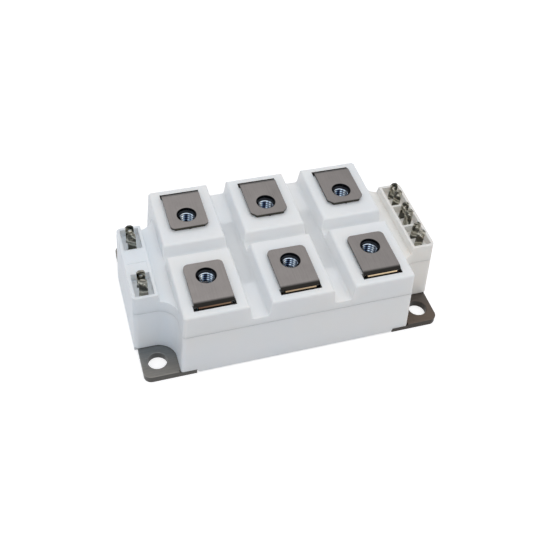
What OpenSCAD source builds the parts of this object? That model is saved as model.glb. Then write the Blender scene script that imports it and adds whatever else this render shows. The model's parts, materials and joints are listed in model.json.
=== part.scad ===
// Full-bridge IGBT power module in a flat white case: metal base plate, frame, lid with six
// terminal towers, six bent screw terminals over captive nuts, and five pairs of control tabs.
// Origin: centre of the underside of the base plate. X along the module, Z up.

/* [Base plate] */
// Length of the base plate
plate_l = 106.4; // [96:0.2:117]
// Width of the base plate
plate_w = 61.4; // [55.4:0.2:67.6]
// Thickness of the base plate
plate_t = 3; // [2.6:0.1:3.6]
// Radius of the plate's four corners
plate_corner_r = 2.6; // [1:0.1:4]
// Distance of the mounting holes from the plate's short edges
mount_edge_x = 5.4; // [5.2:0.1:6.2]
// Distance of the mounting holes from the plate's long edges
mount_edge_y = 6.2; // [6:0.1:6.8]
// Diameter of the mounting holes
mount_hole_d = 6.6; // [5.5:0.1:7]
// How deep the plate's edges are cut back for the skirt
notch_depth = 1.25; // [1:0.05:1.5]
// Distance of the long skirts' ends from the main block's ends
skirt_inset = 6; // [4:0.1:10]
// Distance of the end skirts' ends from the end blocks' sides
end_skirt_inset = 1.6; // [1.2:0.1:3]
// Slant at the ends of the long skirts
skirt_slant = 0.7; // [0.2:0.1:1.2]
// Height of the skirt's lower edge over the plate's underside
skirt_lift = 1; // [0.4:0.1:1.2]
// Height of the lips beside the long skirts, under the frame's lower face
lip_h = 0.8; // [0.6:0.1:1.2]
// How far the lips reach over the plate's long edges
lip_reach = 0.6; // [0.4:0.1:0.8]

/* [Case] */
// Length of plate that stays free beside the main block, at each end
ear_l = 11.8; // [11.5:0.1:12.1]
// How far the case reaches past the plate's long edges
side_overhang = 0.35; // [0.15:0.05:0.5]
// How far the case reaches past the plate's short edges
end_overhang = 1.1; // [0.9:0.1:1.4]
// Inward lean of the long sides, over the whole height
side_draft = 1.45; // [1.2:0.05:1.6]
// Inward lean of the main block's ends, over the whole height
block_draft = 2.1; // [1.8:0.1:2.4]
// Inward lean of the end blocks' outer faces, over their height
end_draft = 1.2; // [1:0.1:1.4]
// Inward lean of the end blocks' sides, over their height
end_side_draft = 2.35; // [2:0.05:2.6]
// Height of the tower tops
body_top = 28.7; // [26:0.1:32]
// Depth of the end blocks' rims under the tower tops
end_drop = 2.1; // [1.8:0.1:2.5]
// Depth of the seam between frame and lid under the tower tops
seam_drop = 9.2; // [8.8:0.1:9.5]
// Radius of the main block's upright edges
body_edge_r = 1.1; // [0.6:0.1:1.6]
// Radius of the end blocks' upright edges
end_edge_r = 1.6; // [1:0.1:1.8]
// Wall of the frame on the long sides
wall_side = 2; // [1.8:0.1:2.2]
// Wall of the frame at the end blocks
wall_end = 1.9; // [1.8:0.1:2.1]
// Thickness of the lid's roofs
lid_roof = 1.8; // [1.4:0.1:2.2]
// Depth of the lid's tongue inside the frame
tongue_h = 2; // [1:0.1:3]
// Thickness of the lid's tongue
tongue_t = 0.8; // [0.7:0.05:0.85]
// Thickness of the frame's two crossbars
crossbar_t = 1.6; // [1.2:0.1:2.4]
// Height of the frame's two crossbars
crossbar_h = 6; // [4:0.1:6.4]

/* [Screw niches] */
// Radius of the rounded inner corner of each niche
niche_r = 6.5; // [5:0.1:7]
// Distance of the niche's rear wall, the end block's side, from the mounting hole at the foot
niche_room = 5.9; // [5.6:0.1:6.4]

/* [Towers] */
// Width of the grooves across the module, at the tops
groove_w_top = 7.3; // [6.6:0.1:7.6]
// Width of the grooves across the module, at the floor
groove_w_floor = 5.8; // [5:0.1:6.4]
// Width of the groove along the module, at the tops
spine_w_top = 5.2; // [4.6:0.1:6]
// Width of the groove along the module, at the floor
spine_w_floor = 3.8; // [3:0.1:4.4]
// Depth of the grooves across the module
groove_depth = 6.1; // [5.6:0.1:6.4]
// Depth of the groove along the module
spine_depth = 4.8; // [4.4:0.1:5.4]
// Depth of the ledges at the two ends, under the tower tops
ledge_depth = 4.9; // [4.4:0.1:5.4]
// Thickness of the lid under the grooves across the module
groove_floor_t = 1.8; // [1.4:0.1:2]
// Radius of the groove floors' corners
groove_r = 1; // [0.4:0.1:1.4]

/* [End blocks] */
// Thickness of the end blocks' walls beside the outer pockets
pocket_wall = 1; // [0.8:0.05:1.2]
// Thickness of the walls between neighbouring pockets
pocket_divider = 0.85; // [0.7:0.05:1.2]
// Width of each tab pocket along the module
pocket_l = 6.2; // [5.6:0.1:6.4]
// Distance of the pockets' middle line from the end blocks' outer rims
pocket_inset = 4.25; // [4.1:0.05:4.4]
// Depth of the tab pockets
pocket_depth = 3; // [2.6:0.1:3.8]
// Thickness of the pocket floors
pocket_floor_t = 1.2; // [1:0.1:1.4]
// Thickness of the rim between pockets and ledge
rim_t = 0.9; // [0.7:0.1:1.1]
// Slope of the rim's face towards the ledge
rim_slope = 0.5; // [0.2:0.1:0.8]
// Depth of the step in the closed middle place
blank_step = 0.3; // [0.2:0.1:0.8]
// Length of the step in the closed middle place
blank_step_w = 4.2; // [3:0.1:5]

/* [Power terminals] */
// Width of the terminal strips
strip_w = 13.3; // [12:0.1:14]
// Thickness of the terminal strips
strip_t = 1.2; // [1:0.1:1.5]
// Gap between a terminal and the top of its tower
strip_gap = 0.2; // [0.1:0.1:0.4]
// Distance of the terminals' uprights from the case's long sides
leg_inset = 3.5; // [3.4:0.05:3.7]
// Distance of the screw holes from the uprights
screw_reach = 11.7; // [11.4:0.1:12]
// Distance of the terminals' free ends from the screw holes
strip_end = 5.9; // [5.4:0.1:6.3]
// Inner radius of the bends
bend_r = 1.2; // [0.8:0.1:1.2]
// Width of the terminals below the shoulder
neck_w = 10.6; // [9:0.1:11.4]
// Height of the shoulder over the tower tops
shoulder_rise = 0.55; // [0.2:0.05:0.8]
// Diameter of the screw holes in the terminals
screw_hole_d = 6.6; // [6.4:0.1:7]
// Radius of the corners at the free ends
strip_corner = 1.8; // [1:0.1:2.4]
// Length of the terminals' solder feet
foot_l = 5.3; // [3:0.1:6]
// Sideways step that gives the uprights their spring
leg_jog = 3.6; // [2.4:0.1:4]
// Distance of the sideways step under the screw wells
jog_room = 4.2; // [3.4:0.1:4.6]
// Room beside the terminals in their slots
slot_side_room = 0.25; // [0.15:0.05:0.4]
// Room inside of the uprights in their slots
slot_inner_room = 0.7; // [0.7:0.05:0.9]
// Room outside of the uprights in their slots
slot_outer_room = 0.5; // [0.3:0.05:0.6]

/* [Nuts] */
// Distance across the flats of the nuts
nut_af = 10; // [9.8:0.1:10.4]
// Height of the nuts
nut_h = 5; // [4:0.1:5.2]
// Core diameter of the nuts' thread
nut_core_d = 5; // [4.8:0.1:5.2]
// Depth of the nuts under the tower tops
nut_sink = 0.1; // [0.05:0.05:0.4]
// Depth of the screw wells under the nuts
well_depth = 4.4; // [3:0.1:5]
// Diameter of the screw wells
well_d = 6.8; // [6.4:0.1:7]

/* [Control tabs] */
// Width of the control tabs
tab_w = 2.8; // [2.6:0.1:3]
// Thickness of the control tabs
tab_t = 0.8; // [0.5:0.1:0.9]
// Height of the tab tips over the pockets' rims
tab_rise = 4.3; // [3.4:0.1:4.8]
// Distance between the two tabs of a pair
tab_gap = 3.9; // [3.6:0.1:4.4]
// Diameter of the hole near each tip
tab_hole_d = 1.3; // [1:0.1:1.5]
// Distance of that hole from the tip
tab_hole_drop = 2.1; // [1.8:0.1:2.6]
// Chamfer of the tips
tab_tip = 0.75; // [0.4:0.05:0.9]
// Width of the shoulders that hold the tabs under the lid
tab_shoulder_w = 3.6; // [3.3:0.1:3.8]
// Width of the tabs' legs
tab_leg_w = 1.5; // [1.2:0.1:1.8]
// Depth of the legs' run under the gel's surface
tab_run_depth = 2.6; // [2:0.1:3.4]
// Distance of the tabs' feet from the outer substrates' copper edges
tab_foot_inset = 1; // [0.9:0.1:1.4]

/* [Substrates] */
// Distance of the outer substrates from the frame's end walls
sub_margin = 0.8; // [0.4:0.1:1]
// Gap between neighbouring substrates
sub_space = 1.6; // [1:0.1:2]
// Distance of the substrates from the frame's long walls
sub_side_margin = 1.9; // [1.4:0.1:2.2]
// Thickness of the solder under the substrates
solder_t = 0.2; // [0.1:0.05:0.3]
// Thickness of the copper on both faces of the ceramic
copper_t = 0.3; // [0.2:0.05:0.4]
// Thickness of the ceramic
ceramic_t = 0.65; // [0.4:0.05:1]
// Distance of the copper's edge from the ceramic's edge
copper_inset = 0.7; // [0.4:0.1:1]
// Gap between neighbouring copper fields
track_gap = 0.8; // [0.5:0.1:1]
// Distance of the chips from their copper field's ends
chip_margin = 0.6; // [0.4:0.1:1]
// Gap between a switch chip and its diode chip
chip_gap = 1.6; // [1:0.1:2]
// The switch chip's share of the length that both chips have
igbt_share = 0.576; // [0.5:0.002:0.6]
// Thickness of the chips
chip_t = 0.25; // [0.2:0.05:0.4]
// Diameter of the bond wires
wire_d = 0.4; // [0.3:0.05:0.5]
// Number of bond wires on each switch chip
igbt_wires = 4; // [2:1:5]
// Number of bond wires on each diode chip
diode_wires = 2; // [1:1:3]
// Number of bond wires on each link between substrates
link_wires = 3; // [2:1:4]
// Thickness of the adhesive between plate and frame
seal_t = 0.25; // [0.15:0.05:0.35]
// Height of the silicone gel's surface
gel_z = 10.8; // [10:0.1:11.2]

/* [Hidden] */

// Small step that lets cutting shapes run past the faces that they cut
past = 0.5;
// Side clearance of pieces that slip into the case
fit = 0.15;
// Thickness of the flat slabs that tapered blocks are spanned between
slab = 0.01;
// Reach of the skirts and lips before the case's outer form cuts them
skirt_reach = 10;
// How far the webs' walls lie inside of the faces that they run into
web_sink = 0.05;
// Sides of round edges, and of true round holes
edge_fn = 24;
hole_fn = 48;
// Steps in each bend and rounded corner
bend_steps = 7;

mount_dx = plate_l - 2 * mount_edge_x;
mount_dy = plate_w - 2 * mount_edge_y;
body_l_foot = plate_l - 2 * ear_l;
body_l_top = body_l_foot - 2 * block_draft;
body_w_foot = plate_w + 2 * side_overhang;
body_w_top = body_w_foot - 2 * side_draft;
end_l_foot = plate_l + 2 * end_overhang;
end_l_top = end_l_foot - 2 * end_draft;
end_w_foot = mount_dy - 2 * niche_room;
end_w_top = end_w_foot - 2 * end_side_draft;
skirt_l = body_l_foot - 2 * skirt_inset;
skirt_w = end_w_foot - 2 * end_skirt_inset;
lip_y = plate_w / 2 - lip_reach;

end_top = body_top - end_drop;
seam_z = body_top - seam_drop;
groove_z = body_top - groove_depth;
spine_z = body_top - spine_depth;
ledge_z = body_top - ledge_depth;
frame_z = plate_t + seal_t;
lip_z = frame_z - lip_h;
backing_z = plate_t + solder_t;
ceramic_z = backing_z + copper_t;
track_z = ceramic_z + ceramic_t;
chip_z = track_z + copper_t;

strip_z = body_top + strip_gap;
shoulder_z = body_top + shoulder_rise;
seat_z = body_top - nut_sink - nut_h;
well_z = seat_z - well_depth;
boss_z = well_z - lid_roof;
boss_d = nut_af / cos(30) + 2.4;
pocket_z = end_top - pocket_depth;
shoulder_top_z = pocket_z - pocket_floor_t;
low_roof_z = groove_z - groove_floor_t;
tab_top = end_top + tab_rise;
tab_run_z = gel_z - tab_run_depth;
jog_z = boss_z - jog_room;

cavity_l = body_l_top - 2 * wall_side + 1;
cavity_w = body_w_top - 2 * wall_side + 0.7;
end_cavity_l = end_l_top - 2 * wall_end;
end_cavity_w = end_w_top - 2 * wall_end;
pocket_w = (end_w_top - 2 * pocket_wall - 2 * pocket_divider) / 3;
pocket_pitch = pocket_w + pocket_divider;
pocket_x = end_l_top / 2 - pocket_inset;
rim_x = pocket_x - pocket_l / 2 - rim_t;
tower_pitch = (body_l_top + groove_w_top) / 3;
terminal_columns = [-tower_pitch, 0, tower_pitch];
groove_columns = [-tower_pitch / 2, tower_pitch / 2];

strip_leg_y = body_w_top / 2 - leg_inset;
screw_y = strip_leg_y - screw_reach;
strip_inner_y = screw_y - strip_end;
slot_l = strip_w + 2 * slot_side_room;
slot_inner_y = strip_leg_y - strip_t / 2 - slot_inner_room;
slot_outer_y = strip_leg_y + strip_t / 2 + slot_outer_room;
leg_low_y = strip_leg_y - leg_jog;

sub_w = (cavity_l - 2 * sub_margin - 2 * sub_space) / 3;
sub_l = cavity_w - 2 * sub_side_margin;
sub_pitch = sub_w + sub_space;
substrate_columns = [-sub_pitch, 0, sub_pitch];
landing_w = 2.2;
tab_foot_x = sub_pitch + sub_w / 2 - copper_inset - tab_foot_inset;
chip_field_x = tab_foot_x - landing_w / 2 - track_gap;
inner_field_x = sub_pitch - sub_w / 2 + copper_inset;
chips_l = chip_field_x - inner_field_x - 2 * chip_margin - chip_gap;
igbt_side = chips_l * igbt_share;
diode_side = chips_l - igbt_side;
igbt_x = chip_field_x - chip_margin - igbt_side / 2;
diode_x = inner_field_x + chip_margin + diode_side / 2;
field_split_y = leg_low_y - foot_l - 3.8;
chip_y = (field_split_y + track_gap / 2) / 2;
wire_land_y = field_split_y + 1.6;
wire_take_y = chip_y + 0.3 * igbt_side;
link_y = wire_land_y + 1.2;

// Halfway values and outlines

function mix(a, b, t) = a + (b - a) * t;
function unit(v) = v / norm(v);
function left_of(v) = [-v[1], v[0]];
function arc(c, r, from, to, steps) =
  [for (i = [0 : steps]) let (a = mix(from, to, i / steps)) c + r * [cos(a), sin(a)]];

// One side of a bent strip: the corner at p1, rounded about the same centre as the middle line
function bend_side(p0, p1, p2, r, off) =
  let (d0 = unit(p1 - p0), d1 = unit(p2 - p1))
  let (turn = sign(d0[0] * d1[1] - d0[1] * d1[0]))
  let (angle = acos(d0 * d1))
  let (c = p1 - d0 * r * tan(angle / 2) + turn * r * left_of(d0))
  let (first = atan2(-turn * left_of(d0)[1], -turn * left_of(d0)[0]))
  arc(c, r - turn * off, first, first + turn * angle, bend_steps);

function strip_side(path, r, off) =
  let (last = len(path) - 1)
  let (d0 = unit(path[1] - path[0]), d1 = unit(path[last] - path[last - 1]))
  concat(
    [path[0] + off * left_of(d0)],
    [for (i = [1 : last - 1]) each bend_side(path[i - 1], path[i], path[i + 1], r, off)],
    [path[last] + off * left_of(d1)]);

function reversed(points) = [for (i = [len(points) - 1 : -1 : 0]) points[i]];

// Closed outline of a strip of thickness t that follows a path with bends of radius r
function strip_outline(path, t, r) =
  concat(strip_side(path, r, t / 2), reversed(strip_side(path, r, -t / 2)));

// A groove's section: open at the top, with rounded corners at its floor
function groove_outline(w_top, w_floor, floor_z, top_z, r) =
  let (lean = atan2((w_top - w_floor) / 2, top_z - floor_z))
  let (c = w_floor / 2 - r * tan(45 - lean / 2))
  let (up = top_z + past, w_up = w_top + 2 * past * tan(lean))
  concat(
    [[-w_up / 2, up]],
    arc([-c, floor_z + r], r, 180 + lean, 270, bend_steps),
    arc([c, floor_z + r], r, 270, 360 - lean, bend_steps),
    [[w_up / 2, up]]);

// Plain building shapes

module rounded_rect(l, w, r) {
  x = l / 2 - r;
  y = w / 2 - r;
  polygon(concat(
    arc([x, y], r, 0, 90, bend_steps),
    arc([-x, y], r, 90, 180, bend_steps),
    arc([-x, -y], r, 180, 270, bend_steps),
    arc([x, -y], r, 270, 360, bend_steps)));
}

// Block of the given height span; centred in X and Y
module bar(l, w, z0, z1) {
  translate([-l / 2, -w / 2, z0])
    cube([l, w, z1 - z0]);
}

// Extrudes an outline in X-Z along Y, and one in Y-Z along X
module along_y(w) {
  rotate([90, 0, 0])
    linear_extrude(height = w, center = true)
      children();
}

module along_x(l) {
  rotate([90, 0, 90])
    linear_extrude(height = l, center = true)
      children();
}

module four_ways() {
  for (x = [0, 1], y = [0, 1])
    mirror([x, 0, 0])
      mirror([0, y, 0])
        children();
}

// Block that tapers from its foot to its top, with rounded upright edges
module taper_block(l0, w0, l1, w1, h, r) {
  hull() {
    linear_extrude(height = slab)
      rounded_rect(l0, w0, r);
    translate([0, 0, h - slab])
      linear_extrude(height = slab)
        rounded_rect(l1, w1, r);
  }
}

// Outer form of the case

module body_form() {
  taper_block(body_l_foot, body_w_foot, body_l_top, body_w_top, body_top, body_edge_r);
}

module end_form() {
  taper_block(end_l_foot, end_w_foot, end_l_top, end_w_top, end_top, end_edge_r);
}

// Plan of one screw niche at height z: main block's end, rounded corner and end block's side
module niche_plan(z) {
  side_x = mix(body_l_foot, body_l_top, z / body_top) / 2 - web_sink;
  rear_y = mix(end_w_foot, end_w_top, z / end_top) / 2 - web_sink;
  far_x = end_l_foot;
  far_y = body_w_foot;
  polygon(concat(
    [[side_x, far_y]],
    arc([side_x + niche_r, rear_y + niche_r], niche_r, 180, 270, bend_steps),
    [[far_x, rear_y], [far_x, far_y]]));
}

module niche() {
  hull() {
    translate([0, 0, -past])
      linear_extrude(height = slab)
        niche_plan(-past);
    translate([0, 0, body_top + past])
      linear_extrude(height = slab)
        niche_plan(body_top + past);
  }
}

// Webs that round the niches' inner corners, between two heights
module webs(z0, z1) {
  l = niche_r + block_draft + 3;
  w = niche_r + end_side_draft + 3;
  difference() {
    for (x = [-1, 1], y = [-1, 1])
      translate([x * (body_l_top / 2 - 2 + l / 2), y * (end_w_top / 2 - 2 + w / 2), 0])
        bar(l, w, z0, z1);
    four_ways()
      niche();
  }
}

// The end blocks between two heights. Its children say what else of the blocks is kept.
module end_mass(z0, z1) {
  intersection() {
    end_form();
    union() {
      bar(end_l_foot, end_w_foot, z0, z1);
      children();
    }
  }
  webs(z0, z1);
}

// Plan of the case's inside
module cavity_plan() {
  square([cavity_l, cavity_w], center = true);
  square([end_cavity_l, end_cavity_w], center = true);
}

// Base plate

module plate_plan() {
  notch_x = skirt_l + 2 * fit;
  notch_y = skirt_w + 2 * fit;
  difference() {
    rounded_rect(plate_l, plate_w, plate_corner_r);
    for (side = [-1, 1]) {
      translate([0, side * plate_w / 2])
        square([notch_x, 2 * notch_depth], center = true);
      translate([side * plate_l / 2, 0])
        square([2 * notch_depth, notch_y], center = true);
    }
  }
}

module base_plate() {
  color("dimgray")
    difference() {
      linear_extrude(height = plate_t)
        plate_plan();
      for (x = [-1, 1], y = [-1, 1])
        translate([x * mount_dx / 2, y * mount_dy / 2, -past])
          cylinder(d = mount_hole_d, h = plate_t + 2 * past, $fn = hole_fn);
      for (side = [-1, 1])
        translate([0, side * (lip_y - fit + skirt_reach / 2), 0])
          bar(body_l_foot + 2 * fit, skirt_reach, lip_z - fit, plate_t + past);
    }
}

// Adhesive ring between plate and frame

module frame_seal() {
  inset = 0.9;
  color("gainsboro")
    translate([0, 0, plate_t])
      linear_extrude(height = seal_t)
        difference() {
          union() {
            square([body_l_top, body_w_top - inset], center = true);
            square([plate_l - 2 * notch_depth - inset, end_w_top + inset], center = true);
          }
          cavity_plan();
        }
}

// Frame

// Long skirt: its ends are slanted
module long_skirt_plan() {
  half = skirt_l / 2;
  polygon([
    [-half, frame_z + slab], [half, frame_z + slab], [half, skirt_lift + skirt_slant],
    [half - skirt_slant, skirt_lift], [skirt_slant - half, skirt_lift],
    [-half, skirt_lift + skirt_slant]]);
}

module long_skirts() {
  inner_y = plate_w / 2 - notch_depth + fit;
  for (side = [-1, 1])
    translate([0, side * (inner_y + skirt_reach / 2), 0])
      along_y(skirt_reach)
        long_skirt_plan();
}

// Lips that reach down over the plate's long edges beside the skirts
module lips() {
  for (side = [-1, 1])
    translate([0, side * (lip_y + skirt_reach / 2), 0])
      bar(body_l_foot, skirt_reach, lip_z, frame_z + slab);
}

module end_skirts() {
  inner_x = plate_l / 2 - notch_depth + fit;
  for (side = [-1, 1])
    translate([side * (inner_x + skirt_reach / 2), 0, 0])
      bar(skirt_reach, skirt_w, skirt_lift, frame_z + slab);
}

module crossbars() {
  for (x = groove_columns)
    translate([x, 0, 0])
      bar(crossbar_t, cavity_w + 2 * fit, seam_z - tongue_h - fit - crossbar_h,
        seam_z - tongue_h - fit);
}

module housing_frame() {
  color("whitesmoke") {
    difference() {
      union() {
        intersection() {
          body_form();
          union() {
            bar(body_l_foot, body_w_foot, frame_z, seam_z);
            long_skirts();
            lips();
          }
        }
        end_mass(frame_z, seam_z)
          end_skirts();
      }
      translate([0, 0, frame_z - past])
        linear_extrude(height = seam_z - frame_z + 2 * past)
          cavity_plan();
    }
    crossbars();
  }
}

// Lid

module cross_grooves() {
  for (x = groove_columns)
    translate([x, 0, 0])
      along_y(body_w_foot + 2 * past)
        polygon(groove_outline(groove_w_top, groove_w_floor, groove_z, body_top, groove_r));
}

module spine_groove() {
  along_x(body_l_foot + 2 * past)
    polygon(groove_outline(spine_w_top, spine_w_floor, spine_z, body_top, groove_r));
}

// What rises over the ledges at the two ends: the blocks that hold the tab pockets
module rim_wedges() {
  far = end_l_foot / 2 + past;
  low = ledge_z - past;
  for (side = [0, 1])
    mirror([side, 0, 0])
      along_y(end_w_foot)
        polygon([
          [rim_x, low], [rim_x - rim_slope, ledge_z], [rim_x, end_top + past],
          [far, end_top + past], [far, low]]);
}

// Hollow under one tower, around the boss that carries nut and screw
module tower_hollow() {
  inner_y = spine_w_top / 2 + lid_roof;
  outer_y = cavity_w / 2;
  w = tower_pitch - groove_w_top - 2 * lid_roof;
  difference() {
    translate([0, (inner_y + outer_y) / 2, 0])
      bar(w, outer_y - inner_y, low_roof_z - past, body_top - lid_roof);
    translate([0, screw_y, seam_z - 2 * past])
      cylinder(d = boss_d, h = body_top, $fn = hole_fn);
  }
}

// Room for one nut, the end of its screw below it, and the terminal's slot
module terminal_cuts() {
  hex_d = (nut_af + 2 * fit) / cos(30);
  translate([0, screw_y, seat_z])
    rotate([0, 0, 30])
      cylinder(d = hex_d, h = body_top, $fn = 6);
  translate([0, screw_y, well_z])
    cylinder(d = well_d, h = body_top, $fn = hole_fn);
  translate([0, (slot_inner_y + slot_outer_y) / 2, 0])
    bar(slot_l, slot_outer_y - slot_inner_y, body_top - lid_roof - past, body_top + past);
}

module each_terminal_place() {
  for (x = terminal_columns, side = [0, 1])
    translate([x, 0, 0])
      mirror([0, side, 0])
        children();
}

module bosses() {
  each_terminal_place()
    difference() {
      translate([0, screw_y, boss_z])
        cylinder(d = boss_d, h = groove_z - boss_z, $fn = hole_fn);
      translate([0, screw_y, well_z])
        cylinder(d = well_d, h = body_top, $fn = hole_fn);
    }
}

// Pockets with their tab slits: three places on the right, two on the left
module pocket_cuts() {
  for (side = [-1, 1], k = [-1, 0, 1])
    if (side > 0 || k != 0)
      translate([side * pocket_x, k * pocket_pitch, 0]) {
        bar(pocket_l, pocket_w, pocket_z, end_top + past);
        for (j = [-1, 1])
          translate([0, j * tab_gap / 2, 0])
            bar(tab_w + 2 * fit, tab_t + 2 * fit, seam_z, end_top);
      }
  translate([-pocket_x, -(pocket_w - blank_step_w) / 2, 0])
    bar(pocket_l, blank_step_w, end_top - blank_step, end_top + past);
}

// Hollow of the lid between the seam and the lower roofs
module lid_cavity() {
  difference() {
    union() {
      bar(cavity_l - 2 * (tongue_t + fit), cavity_w - 2 * (tongue_t + fit), seam_z - past,
        low_roof_z);
      bar(end_cavity_l, end_cavity_w, seam_z - past, shoulder_top_z);
    }
    each_terminal_place()
      translate([0, screw_y, seam_z - 2 * past])
        cylinder(d = boss_d, h = body_top, $fn = hole_fn);
  }
}

// Tongues along the two long sides of the main block
module tongue() {
  outer_w = cavity_w - 2 * fit;
  for (side = [-1, 1]) {
    translate([0, side * (outer_w - tongue_t) / 2, 0])
      bar(cavity_l - 2 * fit, tongue_t, seam_z - tongue_h, seam_z + past);
  }
}

module lid() {
  color("white") {
    difference() {
      union() {
        intersection() {
          body_form();
          bar(body_l_foot, body_w_foot, seam_z, body_top);
        }
        end_mass(seam_z, ledge_z)
          rim_wedges();
      }
      cross_grooves();
      spine_groove();
      each_terminal_place() {
        tower_hollow();
        terminal_cuts();
      }
      pocket_cuts();
      lid_cavity();
    }
    bosses();
    tongue();
  }
}

// Power terminals

// Outline of the bent strip, from its free end over the bend and down to its solder foot
module terminal_side() {
  top = strip_z + strip_t / 2;
  low = chip_z + strip_t / 2;
  polygon(strip_outline([
    [strip_inner_y, top], [strip_leg_y, top], [strip_leg_y, jog_z + leg_jog / 2],
    [leg_low_y, jog_z - leg_jog / 2], [leg_low_y, low], [leg_low_y - foot_l, low]],
    strip_t, bend_r + strip_t / 2));
}

// Plan that gives the free end its corners: rounded, or cut straight with one step
module terminal_plan(corner_steps) {
  half = strip_w / 2;
  far = body_w_foot / 2;
  polygon(concat(
    arc([strip_corner - half, strip_inner_y + strip_corner], strip_corner, 180, 270, corner_steps),
    arc([half - strip_corner, strip_inner_y + strip_corner], strip_corner, 270, 360, corner_steps),
    [[half, far], [-half, far]]));
}

module terminal(x, row, corner_steps) {
  side_cut = (strip_w - neck_w) / 2 + past;
  color("rosybrown")
    translate([x, 0, 0])
      mirror([0, row, 0])
        difference() {
          intersection() {
            along_x(strip_w)
              terminal_side();
            linear_extrude(height = strip_z + 2 * strip_t)
              terminal_plan(corner_steps);
          }
          translate([0, screw_y, body_top - past])
            cylinder(d = screw_hole_d, h = strip_t + 2, $fn = hole_fn);
          for (side = [-1, 1])
            translate([side * (neck_w + side_cut) / 2, body_w_foot / 4, 0])
              bar(side_cut, body_w_foot / 2, 0, shoulder_z);
        }
}

// Nuts under the terminals

module nut() {
  corner_d = nut_af / cos(30);
  difference() {
    intersection() {
      rotate([0, 0, 30])
        cylinder(d = corner_d, h = nut_h, $fn = 6);
      union() {
        cylinder(d1 = nut_af, d2 = nut_af + nut_h, h = nut_h / 2, $fn = hole_fn);
        translate([0, 0, nut_h / 2])
          cylinder(d1 = nut_af + nut_h, d2 = nut_af, h = nut_h / 2, $fn = hole_fn);
      }
    }
    translate([0, 0, -past])
      cylinder(d = nut_core_d, h = nut_h + 2 * past, $fn = hole_fn);
  }
}

module terminal_nuts() {
  color("lightsteelblue")
    each_terminal_place()
      translate([0, screw_y, seat_z])
        nut();
}

// Control tabs: a blade over the lid, shoulders under it, and a leg that runs to the substrate

module tab_side() {
  blade = tab_w / 2;
  shoulder = tab_shoulder_w / 2;
  leg = tab_leg_w / 2;
  drop = pocket_x - tab_foot_x;
  shoulder_z = shoulder_top_z - 1.3;
  polygon([
    [blade, shoulder_top_z], [blade, tab_top - tab_tip], [blade - tab_tip, tab_top],
    [tab_tip - blade, tab_top], [-blade, tab_top - tab_tip], [-blade, shoulder_top_z],
    [-shoulder, shoulder_top_z], [-shoulder, shoulder_z], [-leg, shoulder_z],
    [-leg, tab_run_z + leg], [-drop - leg, tab_run_z + leg], [-drop - leg, chip_z],
    [-drop + leg, chip_z], [-drop + leg, tab_run_z - leg], [leg, tab_run_z - leg],
    [leg, shoulder_z], [shoulder, shoulder_z], [shoulder, shoulder_top_z]]);
}

// side is 0 on the right and 1 on the left; place is -1, 0 or 1; pole is -1 or 1
module control_tab(side, place, pole) {
  color("khaki")
    mirror([side, 0, 0])
      translate([pocket_x, place * pocket_pitch + pole * tab_gap / 2, 0])
        difference() {
          along_y(tab_t)
            tab_side();
          translate([0, 0, tab_top - tab_hole_drop])
            rotate([90, 0, 0])
              cylinder(d = tab_hole_d, h = 2 * tab_t, center = true, $fn = edge_fn);
        }
}

// Substrates: solder, backing copper, ceramic and copper fields

module sub_bar(x, inset, z, t) {
  translate([x, 0, 0])
    bar(sub_w - 2 * inset, sub_l - 2 * inset, z, z + t);
}

module solder_layers() {
  color("silver")
    for (x = substrate_columns)
      sub_bar(x, copper_inset, plate_t, solder_t);
}

module backing(x) {
  color("peru")
    sub_bar(x, copper_inset, backing_z, copper_t);
}

module ceramic(x) {
  color("ivory")
    sub_bar(x, 0, ceramic_z, ceramic_t);
}

// One copper field between two corners
module field(x0, x1, y0, y1) {
  translate([x0, y0, track_z])
    cube([x1 - x0, y1 - y0, copper_t]);
}

// Small fields on which the legs of the control tabs stand
module landings(places) {
  for (k = places, pole = [-1, 1])
    translate([tab_foot_x, k * pocket_pitch + pole * tab_gap / 2, 0])
      bar(landing_w, landing_w, track_z, track_z + copper_t);
}

// Fields of a half bridge: two under the chips, two under the terminals' feet
module bridge_tracks(side, places) {
  x0 = inner_field_x;
  x1 = sub_pitch + sub_w / 2 - copper_inset;
  y1 = sub_l / 2 - copper_inset;
  mid = track_gap / 2;
  color("peru")
    mirror([side, 0, 0]) {
      for (row = [0, 1])
        mirror([0, row, 0]) {
          field(x0, chip_field_x, mid, field_split_y - mid);
          field(x0, x1, field_split_y + mid + 0.4, y1);
        }
      landings(places);
    }
}

// Fields of the middle substrate: the two supply rails with the thermistor's lands between them
module rail_tracks() {
  x1 = sub_w / 2 - copper_inset;
  y1 = sub_l / 2 - copper_inset;
  land = 1.6;
  color("peru") {
    for (row = [0, 1])
      mirror([0, row, 0])
        field(-x1, x1, field_split_y - chip_y, y1);
    for (side = [-1, 1])
      translate([side * 2, 0, 0])
        bar(land, 2 * land, track_z, track_z + copper_t);
  }
}

module each_switch() {
  for (side = [0, 1], row = [0, 1])
    mirror([side, 0, 0])
      mirror([0, row, 0])
        children();
}

module igbt_chips() {
  color("slategray")
    each_switch()
      translate([igbt_x, chip_y, 0])
        bar(igbt_side, igbt_side, chip_z, chip_z + chip_t);
}

module diode_chips() {
  color("darkslategray")
    each_switch()
      translate([diode_x, chip_y, 0])
        bar(diode_side, diode_side, chip_z, chip_z + chip_t);
}

module thermistor() {
  color("tan")
    bar(4.6, 1.6, chip_z, chip_z + 1);
}

// Bond wire: half a ring over the span, with a straight end down to the lower field
module wire_over_y(x, y0, y1, z0, z1) {
  r = (y1 - y0) / 2;
  translate([x, (y0 + y1) / 2, z0])
    rotate([90, 0, 90])
      rotate_extrude(angle = 180, $fn = edge_fn)
        translate([r, 0])
          circle(d = wire_d, $fn = 13);
  translate([x, y1, z1])
    cylinder(d = wire_d, h = z0 - z1, $fn = 13);
}

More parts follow.
